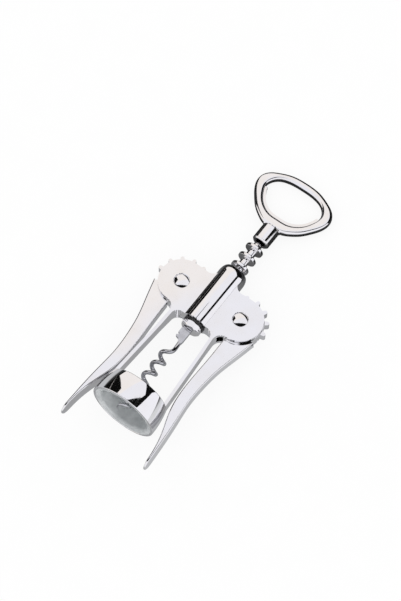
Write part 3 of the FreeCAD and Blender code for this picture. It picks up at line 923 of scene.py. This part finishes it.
def make_ferrule():
    low, high = height_in("stop_ferrule")
    bore = neck_radius + clearance
    flat = ferrule_radius - ferrule_chamfer
    bar = skin("stop_ferrule", [[
        (ferrule_radius * math.cos(math.tau * (k + 0.5) / ferrule_sides),
         ferrule_radius * math.sin(math.tau * (k + 0.5) / ferrule_sides), z)
        for k in range(ferrule_sides)] for z in (low, high)])
    lathe = turned("lathe", [
        (bore, low), (flat - ferrule_chamfer, low), (ferrule_radius, low + 2 * ferrule_chamfer),
        (ferrule_radius, high - ferrule_chamfer), (flat, high), (bore, high)])
    return combine(bar, "INTERSECT", lathe)


finish(make_washer(), "slider", "stop_washer", washer_plastic)
finish(make_ferrule(), "screw", "stop_ferrule", turned_chrome,
       edge_round=0.12, edge_steps=2)

# %% [markdown]
# The worm is one length of round wire. Its path is a formula, a straight run that swings out
# into a helix, and Geometry Nodes turn the path into wire: the radius of the curve shrinks
# over the last stretch, which draws the point. A flat shank is joined on above, with the
# small notch that holds it in the ferrule.

# %% Worm
wire_radius = 1.15
helix_radius = 2.55
helix_offset = -1.5
helix_pitch = 7.5
helix_left_z = 38.5
helix_from, helix_to = 90.0, 2036.0
point_length = 9.0
point_radius = 0.06
wire_start = (0.3, 0.0, 50.35)
lead_reach = 5.5
shank_left, shank_right = -3.8, 1.6
shank_thickness = 2.2
shank_bottom = 49.2
tang_half_width = 1.5
tang_length = 7.0
notch_low, notch_high = 52.55, 53.85
notch_depth = 1.0


def helix_point(degrees):
    """Point on the worm's centre line. The angle grows as the line goes down."""
    turn = math.radians(degrees)
    return Vector((helix_offset + helix_radius * math.cos(turn), -helix_radius * math.sin(turn),
                   helix_left_z - helix_pitch * (degrees - 180) / 360))


def worm_path():
    """Points from inside the shank to the worm's tip."""
    start = Vector(wire_start)
    here = helix_point(helix_from)
    along = (helix_point(helix_from + 1) - here).normalized()
    a, b = start + Vector((0, 0, -lead_reach)), here - along * lead_reach * 0.8
    lead = []
    for t in np.arange(16) / 16:
        left = 1 - t
        lead.append(left ** 3 * start + 3 * left ** 2 * t * a + 3 * left * t * t * b + t ** 3 * here)
    turns = math.ceil((helix_to - helix_from) / ARC_STEP)
    return lead + [helix_point(helix_from + (helix_to - helix_from) * k / turns) for k in range(turns + 1)]


def build_wire_tree():
    tree, given, result = geometry_group("pointed wire", {
        "Radius": ("NodeSocketFloat", 1.0), "Tip Radius": ("NodeSocketFloat", 0.1),
        "Taper": ("NodeSocketFloat", 5.0), "Sides": ("NodeSocketInt", 28),
        "Material": ("NodeSocketMaterial", None)})
    line = node(tree, "GeometryNodeMeshToCurve", {"Mesh": given.outputs["Geometry"]})
    along = node(tree, "GeometryNodeSplineParameter").outputs["Length"]
    total = node(tree, "GeometryNodeCurveLength", {"Curve": line.outputs[0]}).outputs[0]
    left = maths(tree, "SUBTRACT", total, along)
    share = node(tree, "ShaderNodeMapRange", {
        "Value": left, "From Max": given.outputs["Taper"], "To Min": given.outputs["Tip Radius"],
        "To Max": given.outputs["Radius"]}, interpolation_type="SMOOTHSTEP").outputs[0]
    section = node(tree, "GeometryNodeCurvePrimitiveCircle", {
        "Resolution": given.outputs["Sides"], "Radius": 1.0})
    wire = node(tree, "GeometryNodeCurveToMesh", {
        "Curve": line.outputs[0], "Profile Curve": section.outputs[0], "Scale": share, "Fill Caps": True})
    end_tree(tree, given, result, wire.outputs[0])
    return tree


def make_wire():
    path = worm_path()
    mesh = bpy.data.meshes.new("worm")
    mesh.from_pydata(path, [(k, k + 1) for k in range(len(path) - 1)], [])
    return grow(link_object("worm", mesh), build_wire_tree(), **{
        "Radius": wire_radius, "Tip Radius": point_radius, "Taper": point_length,
        "Sides": 28, "Material": worm_steel})


def make_shank():
    """Flat bar with a notch, narrowing to the wire, and a tang inside the ferrule."""
    top = height_in("stop_ferrule")[0]
    tang_top = top + tang_length
    notch_floor = shank_left + notch_depth
    outline = rounded([
        (-tang_half_width, tang_top, 0.3), (-tang_half_width, top, 0), (shank_left, top, 0.3),
        (shank_left, notch_high, 0.25), (notch_floor, notch_high, 0.3), (notch_floor, notch_low, 0.3),
        (shank_left, notch_low, 0.25), (shank_left, 51.6, 0.5), (-1.6, 51.0, 0.8),
        (wire_start[0] - 1.0, shank_bottom, 0.3), (wire_start[0] + 1.1, shank_bottom, 0.3),
        (shank_right, 51.2, 0.8), (shank_right, top, 0.3), (tang_half_width, top, 0),
        (tang_half_width, tang_top, 0.3)])
    return plate("shank", outline, shank_thickness)


finish(combine(make_wire(), "UNION", make_shank()), "screw", "worm", worm_steel,
       edge_round=0.22, edge_steps=2)

# %% [markdown]
# Above the shaft sits a plain sleeve with a bevelled foot, and the handle's ring is let into
# it by a round spigot. The sleeve is turned, with both bores in its section, because the
# lower one shows from below.

# %% Collar
collar_radius = 5.1
collar_chamfer = 0.8
spigot_radius = 3.2
spigot_depth = 6.0
shaft_end = 4.0


def make_collar():
    low, high = height_in("handle_collar")
    ceiling, shelf = low + shaft_end + clearance, high - spigot_depth - clearance
    lower_bore, upper_bore = neck_radius + clearance, spigot_radius + clearance
    section = [(0.0, shelf), (0.0, ceiling), (lower_bore, ceiling), (lower_bore, low)]
    section += corner_arc((neck_radius, low), (collar_radius - collar_chamfer, low),
                          (collar_radius, low + collar_chamfer), 0.3)
    section += corner_arc((collar_radius - collar_chamfer, low), (collar_radius, low + collar_chamfer),
                          (collar_radius, high), 0.3)
    section += corner_arc((collar_radius, low), (collar_radius, high), (spigot_radius, high), 0.35)
    section += [(upper_bore, high), (upper_bore, shelf)]
    return turned("handle_collar", section)


finish(make_collar(), "screw", "handle_collar", turned_chrome)

# %% [markdown]
# The ring is a flat casting with full round edges, a bottle opener in its lower half. Two
# smooth ovals bound it. They are cut to as many points each, so that straight bridges join
# them into a clean strip, and a wide bevel then gives the edge its even round all the way.

# %% Ring
ring_half_width = 23.7
ring_height = 33.9
ring_side_band, ring_foot_band, ring_top_band = 6.0, 6.3, 4.5
ring_thickness = 5.0
ring_round = 1.9
ring_shape = [(0.0, 0.0), (0.23, 0.01), (0.455, 0.085), (0.65, 0.19), (0.8, 0.313), (0.925, 0.44),
              (0.99, 0.56), (0.985, 0.69), (0.875, 0.81), (0.68, 0.895), (0.4, 0.972), (0.0, 1.0)]
ring_hole_shape = [(0.0, 0.0), (0.3, 0.01), (0.56, 0.09), (0.8, 0.255), (0.945, 0.45),
                   (1.0, 0.6), (0.945, 0.745), (0.79, 0.88), (0.5, 0.97), (0.0, 1.0)]
base_half_width, base_height, base_thickness = 5.3, 3.4, 3.1
ledge_width = 1.5
ledge_thickness = 2.2
ledge_share = 0.56
ring_points = 220


def oval(shape, half_width, bottom, top, centre):
    """Closed outline with one point for each of evenly spread directions from a centre."""
    right = [(x * half_width, bottom + z * (top - bottom)) for x, z in shape]
    fine = np.array(smooth(right + mirrored(right[1:-1]), 24, closed=True)) - centre
    angles = np.unwrap(np.arctan2(fine[:, 1], fine[:, 0]))
    wanted = math.tau * np.arange(ring_points) / ring_points + angles[0]
    radii = np.interp(wanted, np.append(angles, angles[0] + math.tau),
                      np.append(np.hypot(*fine.T), np.hypot(*fine[0])))
    return [(centre[0] + r * math.cos(a), centre[1] + r * math.sin(a)) for a, r in zip(wanted, radii)]


def band(name, outer, inner, depth):
    """Flat ring between two outlines of as many points."""
    loops = []
    for outline, side in ((outer, -1), (outer, 1), (inner, 1), (inner, -1)):
        loops.append([(x, side * depth / 2, z) for x, z in outline])
    return skin(name, loops, closed=True)


def make_ring():
    foot = height_in("handle_collar")[1]
    top = foot + ring_height
    hole = (foot + ring_foot_band, top - ring_top_band)
    centre = np.array((0.0, sum(hole) / 2))
    outer = oval(ring_shape, ring_half_width, foot, top, centre)
    inner = oval(ring_hole_shape, ring_half_width - ring_side_band, *hole, centre)
    ring = band("handle_ring", outer, inner, ring_thickness)
    bevel = ring.modifiers.new("full round", "BEVEL")
    bevel.width, bevel.segments = ring_round, 10
    bevel.limit_method, bevel.angle_limit = "ANGLE", math.radians(60)
    bevel.use_clamp_overlap = False
    settle(ring)
    lip = oval(ring_hole_shape, ring_half_width - ring_side_band - ledge_width,
               hole[0] + ledge_width, hole[1] - ledge_width, centre)
    middle = [((a + c) / 2, (b + d) / 2) for (a, b), (c, d) in zip(outer, inner)]
    ledge = band("ledge", middle, lip, ledge_thickness)
    ledge_top = hole[0] + ledge_share * (hole[1] - hole[0])
    combine(ledge, "INTERSECT", block("lower half", -30, 30, -9, 9, foot + 2, ledge_top))
    base = block("base", -base_half_width, base_half_width, -base_thickness / 2, base_thickness / 2,
                 foot, foot + base_height)
    spigot = turned("spigot", rounded([
        (0, foot - spigot_depth, 0), (spigot_radius, foot - spigot_depth, 0.3),
        (spigot_radius, foot + 1.2, 0), (0, foot + 1.2, 0)]))
    return combine(ring, "UNION", ledge, base, spigot)


finish(make_ring(), "screw", "handle_ring", cast_chrome, edge_round=0.3, edge_steps=2)

# %% [markdown]
# On its back, the corkscrew touches the table in two places, the bell's rim and the ring. A
# table is level for whoever looks at it, but the part's frame follows the worm, so the
# table's plane is laid through those two lines. It is pale and plain. Seen in the chrome it
# shows a painted reflection, a glow that only glossy rays see: painted shade makes it grey
# under the part, painted light makes it lighter to the sides and in front, where lamps would
# reach it, and it is painted nearly black behind. That painted dark stretch gives the far
# edges their outlines.

# %% Table
rim_touch = Vector((0.0, mouth_at, 0.0))
ring_low, ring_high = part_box("handle_ring")
ring_touch_y = (ring_low.y + ring_high.y) / 2 + 0.015
table_reach = 3.0
table_clearance = 0.00005
# Painted shade: the grey tone the table shows in reflections under the part.
painted_shade_under_part = 0.38

# Ramps of the painted reflection, painted light to the sides and in front and painted dark behind: where each
# starts, where it ends, and how much it changes.
TO_LEFT, TO_RIGHT = (-0.015, -0.06, 0.22), (0.015, 0.06, 0.4)
TO_FRONT, TO_BACK = (-0.14, -0.3, 0.4), (-0.01, 0.05, 0.94)


def make_table():
    slope = math.atan2(ring_low.z - rim_touch.z, ring_touch_y - rim_touch.y)
    across, along = Vector((1, 0, 0)), Vector((0, math.cos(slope), math.sin(slope)))
    middle = rim_touch - Vector((0, 0, table_clearance))
    mesh = bpy.data.meshes.new("table")
    mesh.from_pydata([middle + across * x * table_reach + along * y * table_reach
                      for x, y in ((-1, -1), (1, -1), (1, 1), (-1, 1))], [], [(0, 1, 2, 3)])
    print("table slopes", round(math.degrees(slope), 2), "degrees against the worm")
    return link_object("table", mesh)


def empty_material(name):
    made = bpy.data.materials.new(name)
    made.use_nodes = True
    made.node_tree.nodes.clear()
    return made, made.node_tree


def table_paper_and_painted_reflection():
    made, tree = empty_material("table paper and painted reflection")
    place = node(tree, "ShaderNodeTexCoord").outputs["Object"]
    fibre = node(tree, "ShaderNodeTexNoise", {"Vector": place, "Scale": 60.0, "Detail": 6.0}).outputs[0]
    tone = node(tree, "ShaderNodeMapRange", {"Value": fibre, "To Min": 0.995, "To Max": 1.01}).outputs[0]
    seen = node(tree, "ShaderNodeEmission", {"Color": (1.0, 1.0, 1.0, 1.0), "Strength": tone})
    shaded = node(tree, "ShaderNodeBsdfDiffuse", {"Color": (0.9, 0.9, 0.9, 1.0)})
    x, y, z = node(tree, "ShaderNodeSeparateXYZ", {"Vector": place}).outputs

    def ramp(value, start, stop, gain):
        return node(tree, "ShaderNodeMapRange", {
            "Value": value, "From Min": start, "From Max": stop, "To Max": gain}).outputs[0]

    # Painted light and shade in the table's reflection: lighter to the sides and in front, grey under the
    # part, nearly black behind.
    painted_tone = maths(tree, "ADD", ramp(x, *TO_LEFT), ramp(x, *TO_RIGHT))
    painted_tone = maths(tree, "ADD", painted_tone, ramp(y, *TO_FRONT))
    painted_tone = maths(tree, "ADD", painted_tone, painted_shade_under_part)
    painted_tone = maths(tree, "MULTIPLY", painted_tone, maths(tree, "SUBTRACT", 1.0, ramp(y, *TO_BACK)))
    # Painted reflection: an emission that only glossy rays see, carrying the painted light and shade.
    painted_reflection = node(tree, "ShaderNodeEmission", {"Color": (0.97, 0.98, 1.0, 1.0), "Strength": painted_tone})
    rays = node(tree, "ShaderNodeLightPath")
    paper = node(tree, "ShaderNodeMixShader", {0: 0.12, 1: seen.outputs[0], 2: shaded.outputs[0]})
    either = node(tree, "ShaderNodeMixShader", {
        0: rays.outputs["Is Glossy Ray"], 1: paper.outputs[0], 2: painted_reflection.outputs[0]})
    result = node(tree, "ShaderNodeOutputMaterial")
    tree.links.new(either.outputs[0], result.inputs["Surface"])
    return made


table = make_table()
table.data.materials.append(table_paper_and_painted_reflection())

# %% [markdown]
# Polished metal shows the room and nothing else, so the room is drawn with care. Two light
# boxes stand close by, one overhead and one at the right, and since they are near, the bell,
# the tube and the ring each see another part of them. The overhead box is warm on one side
# and lilac on the other, as the two cheeks are. The world behind them is black but for a
# wide light in front and a thin pale line at the left. Only glossy rays see all this: for
# the camera and for matt surfaces the world is an even white, which keeps the ground clean.

# %% Studio
WARM_LIGHT = (1.0, 0.955, 0.925, 1.0)
LILAC_LIGHT = (0.95, 0.945, 0.985, 1.0)
FAR_AXIS, SIDE_AXIS = (0.52, 0.854), (0.87, -0.49)
BOX_HEIGHT = 0.35
RIGHT_BOX_X = 0.2

# Outline of the overhead box, as slopes x/z and y/z seen from the middle of the tube.
OVERHEAD_SLOPES = [(0.741, 0.626), (0.618, 0.408), (-0.38, -0.25), (-0.65, -0.25), (-0.65, 0.255),
                   (-6.0, 3.51), (-6.0, 4.73)]
# Outline of the right box, as (y, z) in metres.
RIGHT_OUTLINE = [(-0.35, -0.02), (0.145, -0.02), (0.145, 0.16), (-0.35, 0.52)]


def along(tree, axis, x, y):
    """How far a point or a slope lies along one of the two axes of the overhead box."""
    return maths(tree, "MULTIPLY_ADD", x, axis[0], maths(tree, "MULTIPLY", y, axis[1]))


def soft_box(name, corners, faces, strength):
    """Light panel that only the metal's reflections see."""
    mesh = bpy.data.meshes.new(name)
    mesh.from_pydata(corners, [], faces)
    made = link_object(name, mesh)
    made.visible_camera = made.visible_diffuse = made.visible_shadow = made.visible_transmission = False
    glow, tree = empty_material(name)
    place = node(tree, "ShaderNodeTexCoord").outputs["Object"]
    x, y, z = node(tree, "ShaderNodeSeparateXYZ", {"Vector": place}).outputs
    lilac = node(tree, "ShaderNodeMapRange", {
        "Value": along(tree, SIDE_AXIS, x, y),
        "From Min": -0.46 * BOX_HEIGHT, "From Max": -0.41 * BOX_HEIGHT}).outputs[0]
    tint = node(tree, "ShaderNodeMix", {
        "Factor": lilac, "A": WARM_LIGHT, "B": LILAC_LIGHT}, data_type="RGBA")
    light = node(tree, "ShaderNodeEmission", {"Color": tint.outputs["Result"], "Strength": strength})
    result = node(tree, "ShaderNodeOutputMaterial")
    tree.links.new(light.outputs[0], result.inputs["Surface"])
    mesh.materials.append(glow)


def build_world():
    world = bpy.data.worlds.new("studio")
    bpy.context.scene.world = world
    world.use_nodes = True
    tree = world.node_tree
    tree.nodes.clear()
    way = node(tree, "ShaderNodeTexCoord").outputs["Generated"]
    x, y, z = node(tree, "ShaderNodeSeparateXYZ", {"Vector": way}).outputs
    ceiling = maths(tree, "MAXIMUM", z, 0.02)
    east, north = maths(tree, "DIVIDE", x, ceiling), maths(tree, "DIVIDE", y, ceiling)

    def past(value, edge, soft):
        return node(tree, "ShaderNodeMapRange", {
            "Value": value, "From Min": edge - soft, "From Max": edge + soft},
            interpolation_type="SMOOTHSTEP").outputs[0]

    def short_of(value, edge, soft):
        return maths(tree, "SUBTRACT", 1.0, past(value, edge, soft))

    far = along(tree, FAR_AXIS, east, north)
    pale_line = maths(tree, "MULTIPLY", past(far, -0.62, 0.01), short_of(far, -0.56, 0.01))
    pale_line = maths(tree, "MULTIPLY", pale_line, short_of(x, -0.5, 0.05))
    light = maths(tree, "MAXIMUM", short_of(y, -0.35, 0.04), maths(tree, "MULTIPLY", pale_line, 0.5))
    tint = node(tree, "ShaderNodeMix", {
        "Factor": past(along(tree, SIDE_AXIS, east, north), -0.433, 0.018),
        "A": WARM_LIGHT, "B": LILAC_LIGHT}, data_type="RGBA")
    reflected = node(tree, "ShaderNodeBackground", {
        "Color": tint.outputs["Result"], "Strength": maths(tree, "ADD", light, 0.004)})
    plain = node(tree, "ShaderNodeBackground", {"Color": (1.0, 1.0, 1.0, 1.0), "Strength": 1.05})
    rays = node(tree, "ShaderNodeLightPath")
    either = node(tree, "ShaderNodeMixShader", {
        0: rays.outputs["Is Glossy Ray"], 1: plain.outputs[0], 2: reflected.outputs[0]})
    result = node(tree, "ShaderNodeOutputWorld")
    tree.links.new(either.outputs[0], result.inputs["Surface"])


soft_box("overhead box", [(x * BOX_HEIGHT, y * BOX_HEIGHT, BOX_HEIGHT) for x, y in OVERHEAD_SLOPES],
         [(0, 1, 2, 3, 4), (0, 4, 5, 6)], 1.0)
soft_box("right box", [(RIGHT_BOX_X, y, z) for y, z in RIGHT_OUTLINE], [(0, 1, 2, 3)], 1.05)
build_world()
bpy.context.scene.view_settings.view_transform = "Standard"

# %% [markdown]
# The camera looks down at the table from in front and to the right, turned so that the
# corkscrew runs across the picture from lower left to upper right. Three angles and a
# distance say that: round the part, above it, and a small roll. A long lens keeps the
# levers parallel, as in the picture.

# %% Camera
aim = Vector((-0.004947, 0.001116, 0.021046))
distance = 1.200892
azimuth, elevation, roll = 34.033, 64.062, 2.33
lens = 135.57


def place_camera():
    round_part, above = math.radians(azimuth), math.radians(elevation)
    back = Vector((math.sin(round_part) * math.cos(above), -math.cos(round_part) * math.cos(above),
                   math.sin(above)))
    right = Vector((0, 0, 1)).cross(back).normalized()
    up = back.cross(right)
    turn = math.radians(roll)
    tilted_right = right * math.cos(turn) + up * math.sin(turn)
    tilted_up = back.cross(tilted_right)
    data = bpy.data.cameras.new("camera")
    data.lens = lens
    data.clip_start, data.clip_end = 0.05, 20.0
    made = link_object("camera", data)
    made.matrix_world = Matrix.Translation(aim + back * distance) @ Matrix(
        (tilted_right, tilted_up, back)).transposed().to_4x4()
    bpy.context.scene.camera = made
    print("camera at", [round(v, 3) for v in made.matrix_world.translation])


place_camera()
